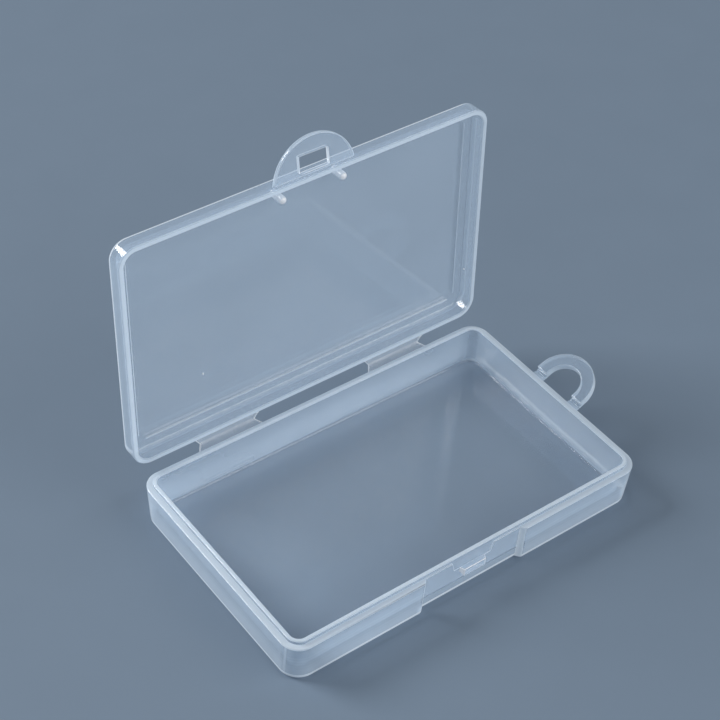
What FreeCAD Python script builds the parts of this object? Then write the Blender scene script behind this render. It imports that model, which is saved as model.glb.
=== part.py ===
import FreeCAD, Part
import math
import os

# A small hinged storage case, moulded in one shot of translucent polypropylene.
# Millimetres, +X towards the hang loop, -Y towards the latch, +Z up.
# The origin is the centre of the tray's underside.
# The lid side is drawn closed and then turned open on the lid hinge's axis.

# Outline that tray and lid share
case_length = 96.0
case_width = 59.0
corner_radius = 4.5

# Tray
ledge_height = 10.3
ledge_width = 1.46
lip_thickness = 0.90
lip_height = 0.93
floor_thickness = 1.3
outer_lean = 0.40
inner_lean = 0.20
base_corner = 4.9
base_round = 0.9
floor_round = 0.8
edge_bevel = 0.15

# Recess in the tray's front wall, with the shut-off step above the lug
recess_half_width = 13.0
recess_depth = 1.07
recess_lean = 0.53
shoulder_run = 0.9
shoulder_round = 1.0
shutoff_half_width = 5.0
shutoff_flare = 0.8

# Catch lug
lug_half_width = 2.95
lug_end_lean = 0.5
lug_height = 2.1
lug_undercut = 0.75
lug_set_back = 0.15
catch_clearance = 0.2

# Lid
seat_clearance = 0.10
lid_depth = 4.47
lid_rim = 1.29
lid_lean = 0.08
lid_round = 0.9
border_thickness = 0.72
border_width = 2.35
border_round = 0.6
panel_rise = 0.60
panel_lead = 0.30
panel_corner = 2.2

# Locating posts
post_radius = 0.95
post_half_spacing = 7.87
post_clearance = 0.06
post_reach = 0.45

# Film hinge webs between tray and lid
web_half_spacing = 23.65
web_length = 17.1
web_notch = 1.2
leaf_reach = 1.61
leaf_rise = 0.40
leaf_thickness = 0.40
lid_film_radius = 0.25
film_neck = 0.30
fold_clearance = 0.08

# Latch tab
latch_axis_reach = 0.44
latch_axis_rise = 0.20
latch_film_radius = 0.15
tab_radius = 10.5
tab_centre = -0.99
tab_thickness = 1.0
tab_foot = 0.44
tab_bevel = 0.40
tab_bevelled_edge = 0.15
window_width = 7.57
window_near = 1.26
window_height = 4.15
window_corner = 0.25

# Hang loop
loop_axis_reach = 0.60
loop_film_radius = 0.25
loop_tongue = 1.0
loop_thickness = 1.7
loop_centre = 2.1
loop_outer_radius = 7.6
loop_inner_radius = 4.4
loop_round = 0.3

# How the case stands in the photo, and where the latch snaps shut
lid_open = 93.0
latch_bend = 7.5
latch_shut = 95.0
loop_bend = 25.0

# Levels and places that follow from the sizes above
half_length = case_length / 2
half_width = case_width / 2
rim_width = ledge_width + lip_thickness
lip_top = ledge_height + lip_height
lid_bottom = ledge_height + seat_clearance
lid_top = lid_bottom + lid_depth
border_level = lid_top - border_thickness
panel_level = border_level + panel_rise
hinge_y = half_width + leaf_reach
hinge_z = ledge_height + leaf_rise
fold_half_gap = seat_clearance / 2
latch_y = -half_width - latch_axis_reach
latch_z = lid_bottom + latch_axis_rise
tab_inner = latch_film_radius - tab_thickness
window_far = window_near + window_height
loop_x = half_length + loop_axis_reach
loop_z = ledge_height - loop_film_radius
shut = math.radians(latch_shut)
lug_tip = latch_z - window_far * math.sin(shut) + tab_inner * math.cos(shut) + catch_clearance
lug_top = lug_tip + lug_height
bite = 0.3


def vec(x, y, z):
    return FreeCAD.Vector(x, y, z)


def outline(inset, z, radius):
    """Closed rounded rectangle, parallel to the case's outline."""
    a = half_length - inset
    b = half_width - inset
    r = radius
    k = r * (1 - math.sqrt(0.5))
    edges = [
        Part.LineSegment(vec(-a + r, -b, z), vec(a - r, -b, z)).toShape(),
        Part.Arc(vec(a - r, -b, z), vec(a - k, -b + k, z), vec(a, -b + r, z)).toShape(),
        Part.LineSegment(vec(a, -b + r, z), vec(a, b - r, z)).toShape(),
        Part.Arc(vec(a, b - r, z), vec(a - k, b - k, z), vec(a - r, b, z)).toShape(),
        Part.LineSegment(vec(a - r, b, z), vec(-a + r, b, z)).toShape(),
        Part.Arc(vec(-a + r, b, z), vec(-a + k, b - k, z), vec(-a, b - r, z)).toShape(),
        Part.LineSegment(vec(-a, b - r, z), vec(-a, -b + r, z)).toShape(),
        Part.Arc(vec(-a, -b + r, z), vec(-a + k, -b + k, z), vec(-a + r, -b, z)).toShape(),
    ]
    return Part.Wire(edges)


def stacked(sections):
    """Block through (inset, level) outlines, its corners concentric with the case's."""
    wires = [outline(inset, z, corner_radius - inset) for inset, z in sections]
    return Part.makeLoft(wires, True, True)


def polygon(points):
    return Part.makePolygon(points + [points[0]])


def level_edges(shape, z):
    """Edges that lie in the level z."""
    found = []
    for edge in shape.Edges:
        box = edge.BoundBox
        if abs(box.ZMin - z) < 1e-4 and abs(box.ZMax - z) < 1e-4:
            found.append(edge)
    return found


def prism_x(points, x0, x1):
    """Profile of (y, z) points, run along X."""
    wire = polygon([vec(x0, y, z) for y, z in points])
    return Part.Face(wire).extrude(vec(x1 - x0, 0, 0))


def recess_wall(z):
    """Y of the recess wall at height z; it leans in towards the bottom."""
    return -half_width + recess_depth + recess_lean * (1 - z / ledge_height)


def recess_section(z):
    """Plan of the recess at height z, reaching out past the front wall."""
    wall = recess_wall(z)
    face = -half_width
    slope = shoulder_run / recess_depth
    a = recess_half_width
    b = recess_half_width + slope * (wall - face + 2)
    return polygon([vec(-a, wall, z), vec(a, wall, z), vec(b, face - 2, z), vec(-b, face - 2, z)])


def shutoff_space():
    """Step above the lug, cut back to the lip's outer face."""
    back = -half_width + ledge_width
    low = lug_top
    high = ledge_height + bite
    a = shutoff_half_width
    b = shutoff_half_width + shutoff_flare
    wire = polygon([vec(-a, back, low), vec(a, back, low), vec(b, back, high), vec(-b, back, high)])
    return Part.Face(wire).extrude(vec(0, -3, 0))


def tray_shell():
    """Tray with ledge, raised lip, front recess and rounded edges."""
    foot = outline(outer_lean, 0, base_corner)
    brow = outline(0, ledge_height - edge_bevel, corner_radius)
    head = outline(edge_bevel, ledge_height, corner_radius - edge_bevel)
    body = Part.makeLoft([foot, brow, head], True, True)
    recess = Part.makeLoft([recess_section(-1), recess_section(ledge_height + 1)], True, True)
    body = body.cut(recess)
    upright = []
    for edge in body.Edges:
        box = edge.BoundBox
        tall = box.ZLength > 0.8 * ledge_height
        if tall and abs(edge.CenterOfMass.x) < recess_half_width + 3 and edge.CenterOfMass.y < 0:
            if abs(edge.CenterOfMass.x) > recess_half_width + 0.2:
                upright.append(edge)
    body = body.makeFillet(shoulder_round, upright)
    body = body.makeFillet(base_round, level_edges(body, 0))
    e = edge_bevel
    lip = stacked([(ledge_width, ledge_height - bite), (ledge_width, lip_top - e), (ledge_width + e, lip_top)])
    body = body.fuse(lip).cut(shutoff_space())
    inside = stacked([(rim_width + inner_lean, floor_thickness), (rim_width, lip_top - e), (rim_width - e, lip_top)])
    inside = inside.makeFillet(floor_round, level_edges(inside, floor_thickness))
    return body.cut(inside)


def catch_lug(tray):
    """Hooked lug on the recess wall: the underside slopes up inward, the ends are drafted."""
    front = -half_width + lug_set_back
    back = recess_wall(lug_tip) + bite
    wall = recess_wall(lug_top)
    grow = lug_end_lean * (back - front) / (wall - front)
    rise = lug_undercut * (back - front) / (wall - front)
    a = lug_half_width
    b = lug_half_width + grow
    near = polygon([vec(-a, front, lug_tip), vec(a, front, lug_tip), vec(a, front, lug_top), vec(-a, front, lug_top)])
    low = lug_tip + rise
    far = polygon([vec(-b, back, low), vec(b, back, low), vec(b, back, lug_top), vec(-b, back, lug_top)])
    return Part.makeLoft([near, far], True, True).cut(tray)


def web_leaf(side, end, wall_level, fold_level):
    """Leaf of a hinge web: it rises from the wall to the fold, and its slanted ends narrow."""
    middle = side * web_half_spacing
    start = half_width - bite
    slope = web_notch / leaf_reach
    a = web_length / 2 + slope * bite
    b = web_length / 2 - slope * (end - half_width)
    plan = polygon([vec(middle - a, start, 0), vec(middle + a, start, 0), vec(middle + b, end, 0), vec(middle - b, end, 0)])
    t = leaf_thickness
    profile = [(start, wall_level), (half_width, wall_level), (end, fold_level)]
    profile = profile + [(end, fold_level + t), (half_width, wall_level + t), (start, wall_level + t)]
    sheet = prism_x(profile, middle - web_length, middle + web_length)
    return sheet.common(Part.Face(plan).extrude(vec(0, 0, 3 * lid_top)))


def tray_leaf(side, tray):
    """Tray half of a film hinge web, flush with the ledge at the wall."""
    fold_level = hinge_z - fold_half_gap - leaf_thickness
    return web_leaf(side, hinge_y - film_neck, ledge_height - leaf_thickness, fold_level).cut(tray)


def hinge_film(side):
    """Fold line of a web: a round bead on the hinge axis with a thin neck to the tray's leaf."""
    x0 = side * web_half_spacing - web_length / 2 + web_notch
    run = web_length - 2 * web_notch
    bead = Part.makeCylinder(lid_film_radius, run, vec(x0, hinge_y, hinge_z), vec(1, 0, 0))
    low = hinge_z - fold_half_gap - lid_film_radius
    neck = Part.makeBox(run, film_neck, lid_film_radius, vec(x0, hinge_y - film_neck, low))
    return bead.fuse(neck).removeSplitter()


def lid_leaf(side, lid):
    """Lid half of a film hinge web, ending just short of the bead."""
    end = hinge_y - lid_film_radius - fold_clearance
    return web_leaf(side, end, lid_bottom, hinge_z + fold_half_gap).cut(lid)


def panel_block(inset, low, high):
    """Raised middle of the lid, with sloping sides, between two levels."""
    foot = outline(inset, low, panel_corner)
    head = outline(inset + high - low, high, panel_corner)
    return Part.makeLoft([foot, head], True, True)


def lid_shell():
    """Lid: plain rim, flat border and a middle panel that is raised out of it."""
    e = edge_bevel
    body = stacked([(e, lid_bottom), (0, lid_bottom + e), (lid_lean, lid_top)])
    body = body.makeFillet(lid_round, level_edges(body, lid_top))
    step = lid_rim + border_width
    body = body.fuse(panel_block(step - panel_lead, lid_top, lid_top + panel_rise))
    inside = stacked([(lid_rim - e, lid_bottom), (lid_rim, lid_bottom + e), (lid_rim + lid_lean, border_level)])
    inside = inside.makeFillet(border_round, level_edges(inside, border_level))
    return body.cut(inside).cut(panel_block(step, border_level, panel_level))


def locating_post(side, lid):
    """Round post with a domed tip that drops inside the tray's lip."""
    x = side * post_half_spacing
    y = -half_width + rim_width + post_clearance + post_radius
    z = lid_bottom - post_reach + post_radius
    dome = Part.makeSphere(post_radius, vec(x, y, z))
    stem = Part.makeCylinder(post_radius, panel_level + edge_bevel - z, vec(x, y, z))
    return max(dome.fuse(stem).removeSplitter().cut(lid).Solids, key=lambda solid: solid.Volume)


def tab_half_chord(v):
    """Half the tab's width at the distance v from the fold."""
    return math.sqrt(tab_radius ** 2 - (v - tab_centre) ** 2)


def latch_strip(lid):
    """Strip along the lid's front rim that carries the latch's fold."""
    a = tab_half_chord(tab_foot)
    r = latch_film_radius
    end = latch_y + r + fold_clearance / 2
    start = -half_width + bite
    strip = Part.makeBox(2 * a, start - end, 2 * r, vec(-a, end, latch_z - r))
    return strip.cut(lid)


def latch_film():
    """Fold of the latch: a round bead on its axis with a short neck to the strip."""
    a = tab_half_chord(tab_foot)
    r = latch_film_radius
    neck_length = r + fold_clearance / 2
    bead = Part.makeCylinder(r, 2 * a, vec(-a, latch_y, latch_z), vec(1, 0, 0))
    neck = Part.makeBox(2 * a, neck_length, 2 * r, vec(-a, latch_y, latch_z - r))
    return bead.fuse(neck).removeSplitter()


def latch_tab():
    """Half-round tab with its window, thinned on the inner side where it meets the fold."""
    a = tab_half_chord(tab_foot)
    tip = tab_centre + tab_radius
    top = latch_z + latch_film_radius
    low = latch_z + tab_inner
    foot = latch_y - tab_foot
    arc = Part.Arc(vec(-a, foot, low), vec(0, latch_y - tip, low), vec(a, foot, low)).toShape()
    base = Part.LineSegment(vec(a, foot, low), vec(-a, foot, low)).toShape()
    plate = Part.Face(Part.Wire([arc, base])).extrude(vec(0, 0, tab_thickness))
    rims = [e for e in plate.Edges if e.Curve.TypeId == "Part::GeomCircle"]
    plate = plate.makeChamfer(tab_bevelled_edge, rims)
    film_low = latch_z - latch_film_radius
    wedge = [(foot + 1, film_low), (foot, film_low), (foot - tab_bevel, low), (foot - tab_bevel, low - 1), (foot + 1, low - 1)]
    plate = plate.cut(prism_x(wedge, -2 * a, 2 * a))
    start = latch_y - latch_film_radius - fold_clearance
    tongue = Part.makeBox(2 * a, start - foot, 2 * latch_film_radius, vec(-a, foot, film_low))
    half = window_width / 2
    window = Part.makeBox(window_width, window_height, tab_thickness + 2, vec(-half, latch_y - window_far, low - 1))
    corners = [e for e in window.Edges if e.BoundBox.ZLength > tab_thickness]
    window = window.makeFillet(window_corner, corners)
    return plate.fuse(tongue).cut(window).removeSplitter()


def loop_legs(u0, u1, z0, z1):
    """The two straight legs of the hang loop between two distances from its fold."""
    legs = []
    for y in (-loop_outer_radius, loop_inner_radius):
        wide = loop_outer_radius - loop_inner_radius
        legs.append(Part.makeBox(u1 - u0, wide, z1 - z0, vec(loop_x + u0, y, z0)))
    return legs


def loop_root(side, tray):
    """Short stub from the tray's end wall towards the loop's fold."""
    wide = loop_outer_radius - loop_inner_radius
    y = loop_inner_radius if side > 0 else -loop_outer_radius
    r = loop_film_radius
    end = loop_x - r - fold_clearance
    start = half_length - bite
    return Part.makeBox(end - start, wide, 2 * r, vec(start, y, loop_z - r)).cut(tray)


def loop_film(side):
    """Fold of a root: a round bead on the loop's axis with a short neck to the stub."""
    wide = loop_outer_radius - loop_inner_radius
    y = loop_inner_radius if side > 0 else -loop_outer_radius
    r = loop_film_radius
    neck_length = r + fold_clearance
    bead = Part.makeCylinder(r, wide, vec(loop_x, y, loop_z), vec(0, 1, 0))
    neck = Part.makeBox(neck_length, wide, 2 * r, vec(loop_x - neck_length, y, loop_z - r))
    return bead.fuse(neck).removeSplitter()


def hang_loop():
    """D-shaped loop: two thin tongues at the fold, then a thick ring open towards the wall."""
    r = loop_film_radius
    low = loop_z - r
    centre = vec(loop_x + loop_centre, 0, low)
    disc = Part.makeCylinder(loop_outer_radius, loop_thickness, centre)
    hole = Part.makeCylinder(loop_inner_radius, loop_thickness, centre)
    ahead = Part.makeBox(2 * loop_outer_radius, 4 * loop_outer_radius, loop_thickness, centre - vec(0, 2 * loop_outer_radius, 0))
    ring = disc.cut(hole).common(ahead)
    for leg in loop_legs(loop_tongue, loop_centre, low, low + loop_thickness):
        ring = ring.fuse(leg)
    ring = ring.removeSplitter()
    rims = level_edges(ring, low + loop_thickness)
    ring = ring.makeFillet(loop_round, rims)
    start = r + fold_clearance
    for leg in loop_legs(start, loop_tongue, low, low + 2 * r):
        ring = ring.fuse(leg)
    return ring.removeSplitter()


def opened(shape):
    """Turns a piece of the closed lid to where the lid stands open."""
    return shape.rotated(vec(0, hinge_y, hinge_z), vec(-1, 0, 0), lid_open)


def save(shape, name):
    shape.exportStep("parts/" + name + ".step")


os.makedirs("parts", exist_ok=True)
tray = tray_shell()
lid = lid_shell()
save(tray, "tray_shell")
save(catch_lug(tray), "catch_lug")
save(opened(lid), "lid_shell")
for side, word in ((-1, "left"), (1, "right")):
    save(tray_leaf(side, tray), "lid_hinge_leaf_tray_" + word)
    save(hinge_film(side), "lid_hinge_film_" + word)
    save(opened(lid_leaf(side, lid)), "lid_hinge_leaf_lid_" + word)
    save(opened(locating_post(side, lid)), "locating_post_" + word)
for side, word in ((-1, "front"), (1, "back")):
    save(loop_root(side, tray), "loop_root_" + word)
    save(loop_film(side), "loop_film_" + word)
save(opened(latch_strip(lid)), "latch_strip")
save(opened(latch_film()), "latch_film")
bent = latch_tab().rotated(vec(0, latch_y, latch_z), vec(-1, 0, 0), latch_bend)
save(opened(bent), "latch_tab")
raised = hang_loop().rotated(vec(loop_x, 0, loop_z), vec(0, -1, 0), loop_bend)
save(raised, "hang_loop")
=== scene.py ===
import math

import bmesh
import bpy
from mathutils import Matrix, Vector
from mathutils.bvhtree import BVHTree


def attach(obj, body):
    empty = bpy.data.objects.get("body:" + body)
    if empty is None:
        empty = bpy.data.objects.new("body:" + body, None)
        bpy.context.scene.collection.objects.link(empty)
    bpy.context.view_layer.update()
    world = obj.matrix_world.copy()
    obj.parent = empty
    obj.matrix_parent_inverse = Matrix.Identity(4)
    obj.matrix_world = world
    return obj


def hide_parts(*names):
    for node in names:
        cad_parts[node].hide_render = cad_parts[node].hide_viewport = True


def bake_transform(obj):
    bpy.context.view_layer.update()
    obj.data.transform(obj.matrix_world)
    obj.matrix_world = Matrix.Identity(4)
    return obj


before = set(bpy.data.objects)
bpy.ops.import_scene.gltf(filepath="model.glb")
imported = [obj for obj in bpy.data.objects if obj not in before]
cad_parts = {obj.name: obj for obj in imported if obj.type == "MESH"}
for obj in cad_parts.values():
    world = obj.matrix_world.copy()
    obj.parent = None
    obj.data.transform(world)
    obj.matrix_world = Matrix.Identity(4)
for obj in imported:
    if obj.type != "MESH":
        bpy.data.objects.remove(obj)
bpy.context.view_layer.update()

scene = bpy.context.scene
scene.view_settings.view_transform = "Standard"

# The viewpoint of the photograph.
# A long lens looks down on the case from its front left corner, held slightly askew.
eye = Vector((-0.183777, -0.209403, 0.299482))
aim = Vector((0.467297, 0.569101, -0.676578))
askew = math.radians(4.01)
level = aim.cross(Vector((0, 0, 1))).normalized()
upright = level.cross(aim)
across = math.cos(askew) * level + math.sin(askew) * upright
held = Matrix((across, -aim.cross(across), -aim)).transposed().to_4x4()
lens = bpy.data.cameras.new("photo_lens")
lens.sensor_width = 36.0
lens.lens = 89.94
camera = bpy.data.objects.new("camera", lens)
camera.matrix_world = Matrix.Translation(eye) @ held
scene.collection.objects.link(camera)
scene.camera = camera

# The ground: a sheet of plain blue-grey board with a faint mottle.
# It lies flat just under the case and runs past the picture on every side.
ground_level = -0.0002
reach = 3.0
darker_board = (0.146, 0.198, 0.264, 1)
paler_board = (0.156, 0.210, 0.279, 1)
board = bpy.data.meshes.new("ground")
corners = [(-reach, -reach), (reach, -reach), (reach, reach), (-reach, reach)]
board.from_pydata([(x, y, ground_level) for x, y in corners], [], [(0, 1, 2, 3)])
ground = bpy.data.objects.new("ground", board)
scene.collection.objects.link(ground)
board_paint = bpy.data.materials.new("blue_grey_board")
board_paint.use_nodes = True
tree = board_paint.node_tree
paint = tree.nodes["Principled BSDF"]
paint.inputs["Roughness"].default_value = 0.6
place = tree.nodes.new("ShaderNodeTexCoord")
mottle = tree.nodes.new("ShaderNodeTexNoise")
mottle.inputs["Scale"].default_value = 60.0
mottle.inputs["Detail"].default_value = 4.0
tone = tree.nodes.new("ShaderNodeValToRGB")
tone.color_ramp.elements[0].color = darker_board
tone.color_ramp.elements[1].color = paler_board
tree.links.new(place.outputs["Object"], mottle.inputs["Vector"])
tree.links.new(mottle.outputs["Fac"], tone.inputs["Fac"])
tree.links.new(tone.outputs["Color"], paint.inputs["Base Color"])
board.materials.append(board_paint)

# Studio light: a soft lamp behind on the left, and two broad ones, in front on the right and on the left.
# With the even room they are set so that a colour renders about as it is written.
room = bpy.data.worlds.new("room")
room.use_nodes = True
air = room.node_tree.nodes["Background"]
air.inputs["Color"].default_value = (0.92, 0.96, 1.0, 1)
air.inputs["Strength"].default_value = 0.20
scene.world = room
lamp_distance = 2.5
lamps = {
    "lamp_back_left": {"towards": (-0.52, 0.64, 0.57), "size": 1.15, "power": 54.0},
    "lamp_front_right": {"towards": (0.50, -0.72, 0.48), "size": 2.60, "power": 46.0},
    "lamp_left": {"towards": (-0.92, -0.20, 0.34), "size": 2.50, "power": 18.0},
}
for name, given in lamps.items():
    light = bpy.data.lights.new(name, "AREA")
    light.shape = "DISK"
    light.size = given["size"]
    light.energy = given["power"]
    lamp = bpy.data.objects.new(name, light)
    towards = Vector(given["towards"])
    lamp.location = towards.normalized() * lamp_distance
    lamp.rotation_euler = towards.to_track_quat("Z", "Y").to_euler()
    scene.collection.objects.link(lamp)


# Tray shell: the lower half of the one-piece moulding, in milky polypropylene a millimetre or two thick.
# Ledge and lip run round its rim, and the front wall is set back for the latch.
def milky_plastic(name, depth, blur, thin, thick):
    """Thin scattering plastic: clear head on, milkier along a wall or at an edge, with a waxy gloss.

    Each face carries its own milkiness, in the attribute milk. depth is that of the plain plastic, blur the
    roughness of its gloss, and thin and thick are its colours.
    """
    material = bpy.data.materials.new(name)
    material.use_nodes = True
    tree = material.node_tree
    tree.nodes.clear()

    def node(kind, **values):
        made = tree.nodes.new("ShaderNode" + kind)
        for key, value in values.items():
            made.inputs[key.replace("_", " ")].default_value = value
        return made

    def worked(operation, a, b=None):
        made = node("Math")
        made.operation = operation
        for socket, value in zip(made.inputs, (a, b)):
            if isinstance(value, (int, float)):
                socket.default_value = value
            elif value is not None:
                tree.links.new(value, socket)
        return made.outputs[0]

    place = node("TexCoord").outputs["Object"]
    cloud = node("TexNoise", Scale=45.0, Detail=3.0)
    waves = node("TexNoise", Scale=300.0, Detail=2.0)
    for pattern in (cloud, waves):
        tree.links.new(place, pattern.inputs["Vector"])
    ripple = node("Bump", Strength=0.02, Distance=0.0003)
    tree.links.new(waves.outputs["Fac"], ripple.inputs["Height"])
    slant = node("LayerWeight", Blend=0.5).outputs["Facing"]
    marked = node("Attribute")
    marked.attribute_name = "milk"
    milk = marked.outputs["Fac"]

    # A slanting look passes through more of the sheet, up to a limit, and the cloudy plastic hides more.
    least_cloud, cloud_range = 0.75, 0.5
    slant_limit = 1.08
    patchy = worked("ADD", worked("MULTIPLY", cloud.outputs["Fac"], cloud_range), least_cloud)
    body_milk = worked("MULTIPLY", worked("MULTIPLY", patchy, milk), depth)
    along = worked("DIVIDE", body_milk, worked("SUBTRACT", slant_limit, slant))
    veil = worked("SUBTRACT", 1.0, worked("EXPONENT", worked("MULTIPLY", along, -1.0)))

    # Thin plastic looks bluish, thick plastic paler, and a solid corner nearly white.
    solid_from, solid_full = 10.0, 30.0
    solid_white = (0.95, 0.97, 1.0, 1)
    past = worked("DIVIDE", worked("SUBTRACT", milk, solid_from), solid_full - solid_from)
    solid = worked("MINIMUM", worked("MAXIMUM", past, 0.0), 1.0)
    paler = node("MixRGB", Color1=(*thin, 1), Color2=(*thick, 1))
    tree.links.new(veil, paler.inputs["Fac"])
    tint = node("MixRGB", Color2=solid_white)
    tree.links.new(solid, tint.inputs["Fac"])
    tree.links.new(paler.outputs["Color"], tint.inputs["Color1"])

    # Thin plastic sends half of its scattered light on through the sheet, and solid plastic less.
    sent_on, held_back = 0.5, 0.3
    front = node("BsdfDiffuse")
    through = node("BsdfTranslucent")
    for side in (front, through):
        tree.links.new(tint.outputs["Color"], side.inputs["Color"])
    haze = node("MixShader")
    tree.links.new(worked("SUBTRACT", sent_on, worked("MULTIPLY", solid, held_back)), haze.inputs[0])
    tree.links.new(front.outputs[0], haze.inputs[1])
    tree.links.new(through.outputs[0], haze.inputs[2])
    clear = node("BsdfTransparent")
    body = node("MixShader")
    tree.links.new(veil, body.inputs[0])
    tree.links.new(clear.outputs[0], body.inputs[1])
    tree.links.new(haze.outputs[0], body.inputs[2])

    # The gloss grows towards a glancing look, and fades out on faces with hardly any milk, which are joints.
    head_on, glancing, steep = 0.06, 0.75, 5.0
    full_gloss_milk = 0.25
    shine = worked("ADD", worked("MULTIPLY", worked("POWER", slant, steep), glancing), head_on)
    bare = worked("MINIMUM", worked("DIVIDE", milk, full_gloss_milk), 1.0)
    gloss = node("BsdfGlossy", Roughness=blur)
    tree.links.new(ripple.outputs["Normal"], gloss.inputs["Normal"])
    skin = node("MixShader")
    tree.links.new(worked("MULTIPLY", shine, bare), skin.inputs[0])
    tree.links.new(body.outputs[0], skin.inputs[1])
    tree.links.new(gloss.outputs[0], skin.inputs[2])
    tree.links.new(skin.outputs[0], node("OutputMaterial").inputs["Surface"])
    return material


def solid_of(node_name):
    """A working copy of a node's solid, with its loose triangles joined."""
    work = bmesh.new()
    work.from_mesh(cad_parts[node_name].data)
    bmesh.ops.remove_doubles(work, verts=work.verts, dist=2e-6)
    return work


def moulded(node_name, body, plastic, milkiness, edge_milk=0.0, edge_round=0.0, unturn=Matrix(), meets=(), cuts=()):
    """The solid of a node with its flat faces joined, its sharp edges eased, and the milkiness of each face.

    unturn lays the piece level, the lid as if shut and the latch and the loop flat. milkiness and edge_milk are
    numbers, or functions of a spot on the piece laid so, in millimetres, and for milkiness also of the way that
    the face looks. meets names the neighbours that the piece runs into, and cuts are the heights, also in
    millimetres, at which its walls are divided.
    """
    flat, sharp_from, crease_from = math.radians(0.6), math.radians(40), math.radians(50)
    touching, sunk, shortest = 0.00003, 0.00002, 0.00005
    work = solid_of(node_name)
    bmesh.ops.dissolve_limit(work, angle_limit=flat, use_dissolve_boundaries=False,
                             verts=work.verts[:], edges=work.edges[:])

    # A wall is divided so that a strip along its edge can be milkier than the rest.
    turn = unturn.to_3x3()
    for height in cuts:
        bmesh.ops.bisect_plane(work, geom=work.verts[:] + work.edges[:] + work.faces[:], dist=1e-7,
                               plane_co=unturn.inverted() @ Vector((0, 0, height / 1000)),
                               plane_no=turn.inverted() @ Vector((0, 0, 1)))

    # Faces that are set against a neighbour of the same moulding are sunk a little into it, and don't show.
    milk = work.faces.layers.float.new("milk")
    hidden = work.faces.layers.int.new("hidden")
    for neighbour in meets:
        other = solid_of(neighbour)
        surface = BVHTree.FromBMesh(other)
        other.free()
        for face in work.faces:
            spot, facing, index, gap = surface.find_nearest(face.calc_center_median(), touching)
            if spot is not None and facing.dot(face.normal) < -0.9:
                face[hidden] = 1
    for face in work.faces:
        if face[hidden]:
            bmesh.ops.translate(work, verts=face.verts, vec=face.normal * sunk)

    eased = set()
    if edge_round:
        sharp = [edge for edge in work.edges
                 if len(edge.link_faces) == 2 and edge.calc_face_angle_signed() > sharp_from
                 and edge.calc_length() > shortest and not any(face[hidden] for face in edge.link_faces)]
        eased.update(bmesh.ops.bevel(work, geom=sharp, offset=edge_round, offset_type="OFFSET", segments=2,
                                     profile=0.5, affect="EDGES", clamp_overlap=False)["faces"])
    for face in work.faces:
        face.smooth = True
        face.material_index = 0
        spot = unturn @ face.calc_center_median() * 1000
        if face in eased:
            face[milk] = edge_milk(spot) if callable(edge_milk) else edge_milk
        elif face[hidden]:
            face[milk] = 0.0
        else:
            face[milk] = milkiness(spot, turn @ face.normal) if callable(milkiness) else milkiness
    for edge in work.edges:
        if len(edge.link_faces) == 2 and edge.calc_face_angle() > crease_from:
            edge.smooth = False
    work.faces.layers.int.remove(hidden)
    mesh = bpy.data.meshes.new(node_name + "_moulded")
    work.to_mesh(mesh)
    work.free()
    mesh.materials.append(plastic)
    piece = bpy.data.objects.new(node_name + "_moulded", mesh)
    scene.collection.objects.link(piece)
    even = piece.modifiers.new("even", "WEIGHTED_NORMAL")
    even.keep_sharp = True
    bpy.context.view_layer.update()
    piece.data = bpy.data.meshes.new_from_object(piece.evaluated_get(bpy.context.evaluated_depsgraph_get()))
    piece.modifiers.clear()
    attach(piece, body)
    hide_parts(node_name)


def tray_milk(c, n):
    """Milkiness over the tray: bright ledge, lip and edges, clear walls, clearer floor, with painted highlights,
    painted light and painted shade on walls and edges.
    """
    ledge, lip, foot, floor_round, wall_middle = 10.1, 10.3, 1.4, 2.2, 7.6
    plain = 0.95
    outward = n.x * c.x + n.y * c.y > 0
    in_recess = abs(c.x) < 16 and c.y < -26
    on_painted_corner_highlight = 0.28 < abs(n.y) < 0.34
    if c.z > ledge and n.z > 0.3:
        return 12.0
    # Painted shade: faces of the lip turned to the left are kept clearer than the rest.
    if c.z > lip:
        return 0.6 if n.x < -0.5 else 1.1
    # Painted highlight: the upper part of the rounded edge of the base is a bright line, fainter below it and at
    # the back.
    if c.z < foot and -0.97 < n.z < 0.2:
        if n.y > 0.5:
            return 2.0
        return 13.0 if n.z > -0.45 else 5.0
    # Painted light: the outer walls grow milkier from the middle down, lightening them where shade lies on the
    # ground behind them.
    if outward and abs(n.z) < 0.3 and not in_recess and not on_painted_corner_highlight:
        return plain + 0.85 * min(1.0, max(0.0, (wall_middle - c.z) / 4.2))
    # Painted highlight: the rounding between wall and floor is milky only along the right end, and nearly clear
    # elsewhere.
    if c.z < floor_round and not outward and 0.05 < n.z < 0.97:
        return 2.2 if n.x < -0.15 and c.x > 30 and n.z < 0.5 else 0.4
    if c.z < foot and abs(n.z) > 0.9:
        return plain
    # The recess has bright shoulders and a clear wall, made milkier low down as painted light, like the walls round
    # it.
    if in_recess and abs(n.x) > 0.3:
        return 9.0
    if in_recess and n.y < -0.9:
        return 1.3 if c.z < 3.4 else 0.65
    # Painted highlight: a narrow milkier strip down each rounded corner of the walls.
    if on_painted_corner_highlight and abs(n.z) < 0.2 and outward:
        return 2.5
    return plain


thin_milk = (0.64, 0.81, 1.0)
thick_milk = (0.78, 0.87, 0.95)
tray_plastic = milky_plastic("tray_plastic", depth=0.26, blur=0.10, thin=thin_milk, thick=thick_milk)
moulded("tray_shell", "tray", tray_plastic, tray_milk, edge_milk=9.0, edge_round=0.0001,
        cuts=(1.4, 3.4, 4.4, 5.4, 6.4, 7.4))


# Catch lug: a hooked block moulded on the recess wall, for the latch's window to snap over.
# It is solid plastic, so it is milkier than the walls, and its ends and edges are painted near white as highlights.
def lug_milk(c, n):
    # Painted highlights on its two ends.
    if abs(n.x) > 0.5:
        return 26.0
    return 0.8 if n.y < -0.9 else 2.0


moulded("catch_lug", "tray", tray_plastic, lug_milk, edge_milk=30.0, edge_round=0.00014, meets=("tray_shell",))


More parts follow.
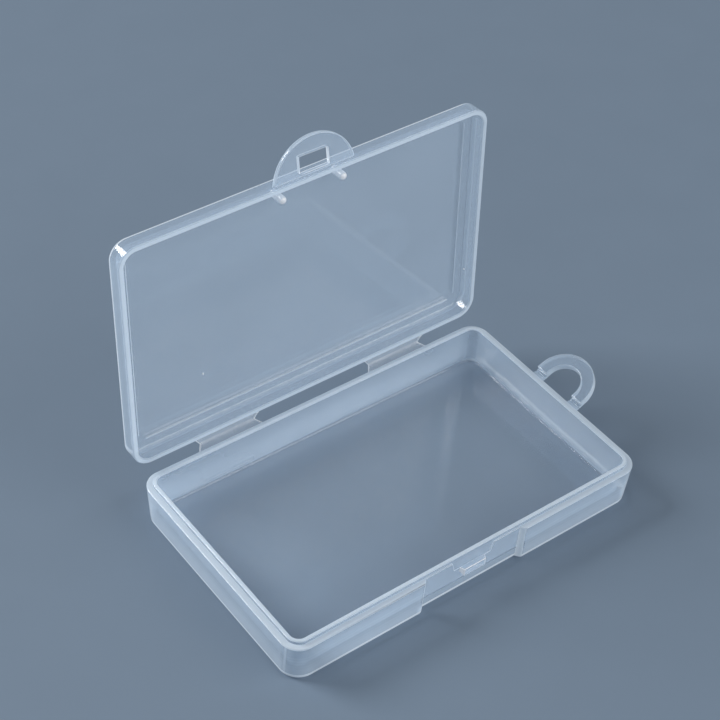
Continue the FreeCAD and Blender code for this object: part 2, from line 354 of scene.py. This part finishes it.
# Lid shell: the upper half of the moulding, with a plain rim, a flat border and a raised middle panel.
# It is the same milky polypropylene as the tray, and thinner.
def lid_milk(c, n):
    """Milkiness over the lid, seen as if it were shut."""
    rim, strip_from, strip_to, border = 10.56, 13.95, 14.86, 14.1
    if c.z < rim and n.z < -0.3:
        return 10.0
    # Painted highlight: a strip round the top edge is made brightest on the front and the left, and fainter on the
    # right and the hinge side.
    if strip_from < c.z < strip_to and -0.2 < n.z < 0.97 and n.x * c.x + n.y * c.y > 0:
        on_right = c.x > 40
        on_hinge_side = c.y > 25 and abs(n.x) < 0.3
        return 4.0 if on_right or on_hinge_side else 15.0
    if abs(n.z) > 0.9 or c.z > border and abs(n.z) > 0.3:
        return 1.0
    return 1.5


def lid_edge_milk(c):
    return 1.0 if c.z > 15.0 else 6.0


def turned_about(axis, degrees, line):
    """A turn about a line through a point."""
    return Matrix.Translation(axis) @ Matrix.Rotation(math.radians(degrees), 4, line) @ Matrix.Translation(-axis)


lid_closed = turned_about(Vector((0, 0.03111, 0.0107)), 93, "X")
lid_plastic = milky_plastic("lid_plastic", depth=0.142, blur=0.08, thin=thin_milk, thick=thick_milk)
moulded("lid_shell", "lid", lid_plastic, lid_milk, lid_edge_milk, edge_round=0.0001, unturn=lid_closed,
        cuts=(13.95,))


# Hinge webs: two thin strips of the same plastic that join tray and lid and fold along their middle.
# Bending has whitened them and left fine lines along the fold, and their ends narrow towards it.
# Each is one strip from wall to wall.
def fold_web_tree():
    """A strip that follows a bent path from the tray's wall to the lid's, with fine ridges along the fold."""
    tree = bpy.data.node_groups.new("fold_web", "GeometryNodeTree")
    tree.is_modifier = True
    labels = {
        "Vector": ("Start", "Start Handle", "End Handle", "End"),
        "Float": ("Middle", "Length", "Notch", "Rim", "Thickness", "Ridges", "Ridge Height",
                  "Face Milk", "Ridge Milk", "End Milk"),
        "Material": ("Plastic",),
    }
    sockets = {}
    for kind, group in labels.items():
        for label in group:
            socket = tree.interface.new_socket(label, in_out="INPUT", socket_type="NodeSocket" + kind)
            sockets[label] = socket.identifier
    tree.interface.new_socket("Geometry", in_out="OUTPUT", socket_type="NodeSocketGeometry")
    given = tree.nodes.new("NodeGroupInput").outputs

    def put(socket, value):
        if isinstance(value, bpy.types.NodeSocket):
            tree.links.new(value, socket)
        else:
            socket.default_value = value

    def node(kind, **values):
        made = tree.nodes.new("GeometryNode" + kind)
        for key, value in values.items():
            put(made.inputs[key.replace("_", " ")], value)
        return made

    def worked(operation, a, b=0.0):
        made = tree.nodes.new("ShaderNodeMath")
        made.operation = operation
        put(made.inputs[0], a)
        put(made.inputs[1], b)
        return made.outputs[0]

    def parts(vector):
        made = tree.nodes.new("ShaderNodeSeparateXYZ")
        tree.links.new(vector, made.inputs[0])
        return made.outputs

    # A flat sheet of one unit, four points wide, remembers where its points lay: along the path, and sideways.
    sheet = node("MeshGrid", Size_X=1.0, Size_Y=1.0, Vertices_X=4, Vertices_Y=73)
    spot = parts(node("InputPosition").outputs[0])
    along = worked("ADD", spot["Y"], 0.5)
    sideways = worked("ABSOLUTE", spot["X"])
    numbered = node("StoreNamedAttribute", Geometry=sheet.outputs["Mesh"], Name="sideways", Value=sideways)
    marked = node("StoreNamedAttribute", Geometry=numbered.outputs[0], Name="along", Value=along)

    # The sheet is laid along the path. Its ends are notched towards the fold, and the inner points make their rims.
    path = node("CurvePrimitiveBezierSegment", Resolution=48, Start=given["Start"],
                Start_Handle=given["Start Handle"], End_Handle=given["End Handle"], End=given["End"])
    on_path = node("SampleCurve", Curves=path.outputs[0], Factor=along)
    on_path.mode = "FACTOR"
    from_fold = worked("ABSOLUTE", worked("MULTIPLY", spot["Y"], 2.0))
    both_notches = worked("MULTIPLY", given["Notch"], 2.0)
    cut_back = worked("MULTIPLY", both_notches, worked("SUBTRACT", 1.0, from_fold))
    half = worked("MULTIPLY", worked("SUBTRACT", given["Length"], cut_back), 0.5)
    inside = worked("MULTIPLY", worked("LESS_THAN", sideways, 0.4), given["Rim"])
    across = worked("MULTIPLY", worked("SIGN", spot["X"]), worked("SUBTRACT", half, inside))
    at = parts(on_path.outputs["Position"])
    goes = tree.nodes.new("ShaderNodeCombineXYZ")
    put(goes.inputs[0], worked("ADD", across, given["Middle"]))
    put(goes.inputs[1], at["Y"])
    put(goes.inputs[2], at["Z"])
    laid = node("SetPosition", Geometry=marked.outputs[0], Position=goes.outputs[0])

    # It gets its thickness and ridges, and is closed below.
    drawn = node("InputNamedAttribute", Name="along")
    turns = worked("MULTIPLY", given["Ridges"], math.pi)
    wave = worked("ABSOLUTE", worked("SINE", worked("MULTIPLY", drawn.outputs[0], turns)))
    ridged = worked("ADD", given["Thickness"], worked("MULTIPLY", wave, given["Ridge Height"]))
    upper = node("ExtrudeMesh", Mesh=laid.outputs[0], Offset_Scale=ridged, Individual=False)
    under = node("FlipFaces", Mesh=laid.outputs[0])
    both = node("JoinGeometry")
    tree.links.new(upper.outputs["Mesh"], both.inputs[0])
    tree.links.new(under.outputs[0], both.inputs[0])
    closed = node("MergeByDistance", Geometry=both.outputs[0], Distance=1e-7)

    # Ridges are milkier than the face between them, and the end rims are bright.
    on_end = worked("GREATER_THAN", node("InputNamedAttribute", Name="sideways").outputs[0], 0.25)
    plain = worked("ADD", given["Face Milk"], worked("MULTIPLY", wave, given["Ridge Milk"]))
    more = worked("MULTIPLY", on_end, given["End Milk"])
    milked = node("StoreNamedAttribute", Geometry=closed.outputs[0], Name="milk", Value=worked("ADD", plain, more))
    milked.domain = "FACE"
    smooth = node("SetShadeSmooth", Geometry=milked.outputs[0])
    whole = node("RealizeInstances", Geometry=smooth.outputs[0])
    dressed = node("SetMaterial", Geometry=whole.outputs[0], Material=given["Plastic"])
    out = tree.nodes.new("NodeGroupOutput")
    tree.links.new(dressed.outputs[0], out.inputs[0])
    return tree, sockets


thin_web = (0.72, 0.83, 0.94)
thick_web = (0.82, 0.88, 0.94)
web_plastic = milky_plastic("web_plastic", depth=0.24, blur=0.12, thin=thin_web, thick=thick_web)
fold_web, web_sockets = fold_web_tree()
web_sizes = {
    "Start": (0, 0.02942, 0.00994),
    "Start Handle": (0, 0.03135, 0.01040),
    "End Handle": (0, 0.03160, 0.01060),
    "End": (0, 0.031228, 0.012394),
    "Length": 0.0171,
    "Notch": 0.0012,
    "Rim": 0.00022,
    "Thickness": 0.0003,
    "Ridges": 8.0,
    "Ridge Height": 0.00006,
    "Face Milk": 0.2,
    "Ridge Milk": 1.0,
    "End Milk": 20.0,
    "Plastic": web_plastic,
}
for end, middle in (("left", -0.02365), ("right", 0.02365)):
    piece = bpy.data.objects.new("hinge_web_" + end, bpy.data.meshes.new("hinge_web_" + end))
    scene.collection.objects.link(piece)
    bent = piece.modifiers.new("bent", "NODES")
    bent.node_group = fold_web
    bent[web_sockets["Middle"]] = middle
    for label, value in web_sizes.items():
        bent[web_sockets[label]] = value
    bpy.context.view_layer.update()
    piece.data = bpy.data.meshes.new_from_object(piece.evaluated_get(bpy.context.evaluated_depsgraph_get()))
    piece.modifiers.clear()
    for guide in ("along", "sideways"):
        piece.data.attributes.remove(piece.data.attributes[guide])
    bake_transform(piece)
    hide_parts("lid_hinge_leaf_tray_" + end, "lid_hinge_film_" + end, "lid_hinge_leaf_lid_" + end)


# Locating posts: two round pegs inside the lid's front wall, which drop inside the tray's lip.
# They are moulded with the lid and solid, so they look nearly white, and their domed tips are whiter still, a
# painted highlight.
def post_milk(c, n):
    # Painted highlight: the domed tips are milkier than the stems.
    return 40.0 if c.z < 10.4 else 18.0


for end in ("left", "right"):
    moulded("locating_post_" + end, "lid", lid_plastic, post_milk, unturn=lid_closed, meets=("lid_shell",))


# Mould marks: two small drops of plastic left standing inside the lid, where the mould was filled and vented.
# One is on the panel near the hinge, and one is inside the right end wall.
def mould_drop(name, middle, outward, upward, long, wide, high):
    """A low, long dome that stands on a face of the lid, closed below."""
    around, rings = 16, 9
    sideways = outward.cross(upward)
    work = bmesh.new()
    milk = work.faces.layers.float.new("milk")
    top, bottom = (work.verts.new(middle + outward * height) for height in (high, -high))
    rows = []
    for ring in range(1, rings):
        tilt = math.pi * ring / rings
        centre = middle + outward * math.cos(tilt) * high
        spins = [2 * math.pi * step / around for step in range(around)]
        rows.append([work.verts.new(centre + math.sin(tilt) * (sideways * math.cos(spin) * wide
                                                               + upward * math.sin(spin) * long))
                     for spin in spins])
    for step in range(around):
        work.faces.new((top, rows[0][step - 1], rows[0][step]))
        for upper, lower in zip(rows, rows[1:]):
            work.faces.new((upper[step - 1], lower[step - 1], lower[step], upper[step]))
        work.faces.new((rows[-1][step], rows[-1][step - 1], bottom))
    for face in work.faces:
        face.smooth = True
        face[milk] = 30.0
    work.normal_update()
    bmesh.ops.recalc_face_normals(work, faces=work.faces)
    mesh = bpy.data.meshes.new(name)
    work.to_mesh(mesh)
    work.free()
    mesh.materials.append(lid_plastic)
    piece = bpy.data.objects.new(name, mesh)
    scene.collection.objects.link(piece)
    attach(piece, "lid")


lid_opened = lid_closed.inverted()
down = lid_opened.to_3x3() @ Vector((0, 0, -1))
towards_latch = lid_opened.to_3x3() @ Vector((0, -1, 0))
on_panel = lid_opened @ Vector((-0.02683, 0.01534, 0.01475))
on_wall = lid_opened @ Vector((0.04665, 0.01757, 0.01321))
mould_drop("panel_mark", on_panel, down, towards_latch, long=0.0004, wide=0.00018, high=0.00008)
mould_drop("wall_mark", on_wall, Vector((-1, 0, 0)), towards_latch, long=0.00025, wide=0.00025, high=0.00008)


# Latch: a half-round tab with a window, hung from a strip on the lid's front rim by a film of the same plastic.
# Its faces are clear, and its rim and the sides of its window are bright.
def by_window(c):
    return abs(c.x) < 3.9 and -35.6 < c.y < -31.0


def tab_milk(c, n):
    """Milkiness over the tab, seen as if it lay flat."""
    if abs(n.z) > 0.97 or c.y > -30.9:
        return 1.6
    if by_window(c):
        return 14.0 if abs(n.x) > 0.5 else 2.4
    return 3.5


def tab_edge_milk(c):
    return 40.0 if by_window(c) else 9.0


strip_milk = 0.3
film_milk = 0.08
latch_flat = turned_about(Vector((0, -0.02994, 0.0106)), 7.5, "X") @ lid_closed
moulded("latch_strip", "lid", lid_plastic, strip_milk, unturn=lid_closed, meets=("lid_shell", "latch_film"))
moulded("latch_film", "lid", lid_plastic, film_milk, unturn=lid_closed, meets=("latch_strip",))
moulded("latch_tab", "latch", lid_plastic, tab_milk, tab_edge_milk, edge_round=0.00013, unturn=latch_flat)


# Hang loop: a D-shaped ring on the right end wall, moulded with the tray and carried by two thinned roots.
# The roots let it bend, and in the photograph it is bent up.
def loop_milk(c, n):
    return 1.2 if abs(n.z) > 0.97 else 4.0


root_milk = 3.0
loop_flat = turned_about(Vector((0.0486, 0, 0.01005)), 25, "Y")
for end in ("front", "back"):
    moulded("loop_root_" + end, "tray", tray_plastic, root_milk, meets=("tray_shell", "loop_film_" + end))
    moulded("loop_film_" + end, "tray", tray_plastic, root_milk, meets=("loop_root_" + end,))
moulded("hang_loop", "loop", tray_plastic, loop_milk, edge_milk=8.0, edge_round=0.00006, unturn=loop_flat)
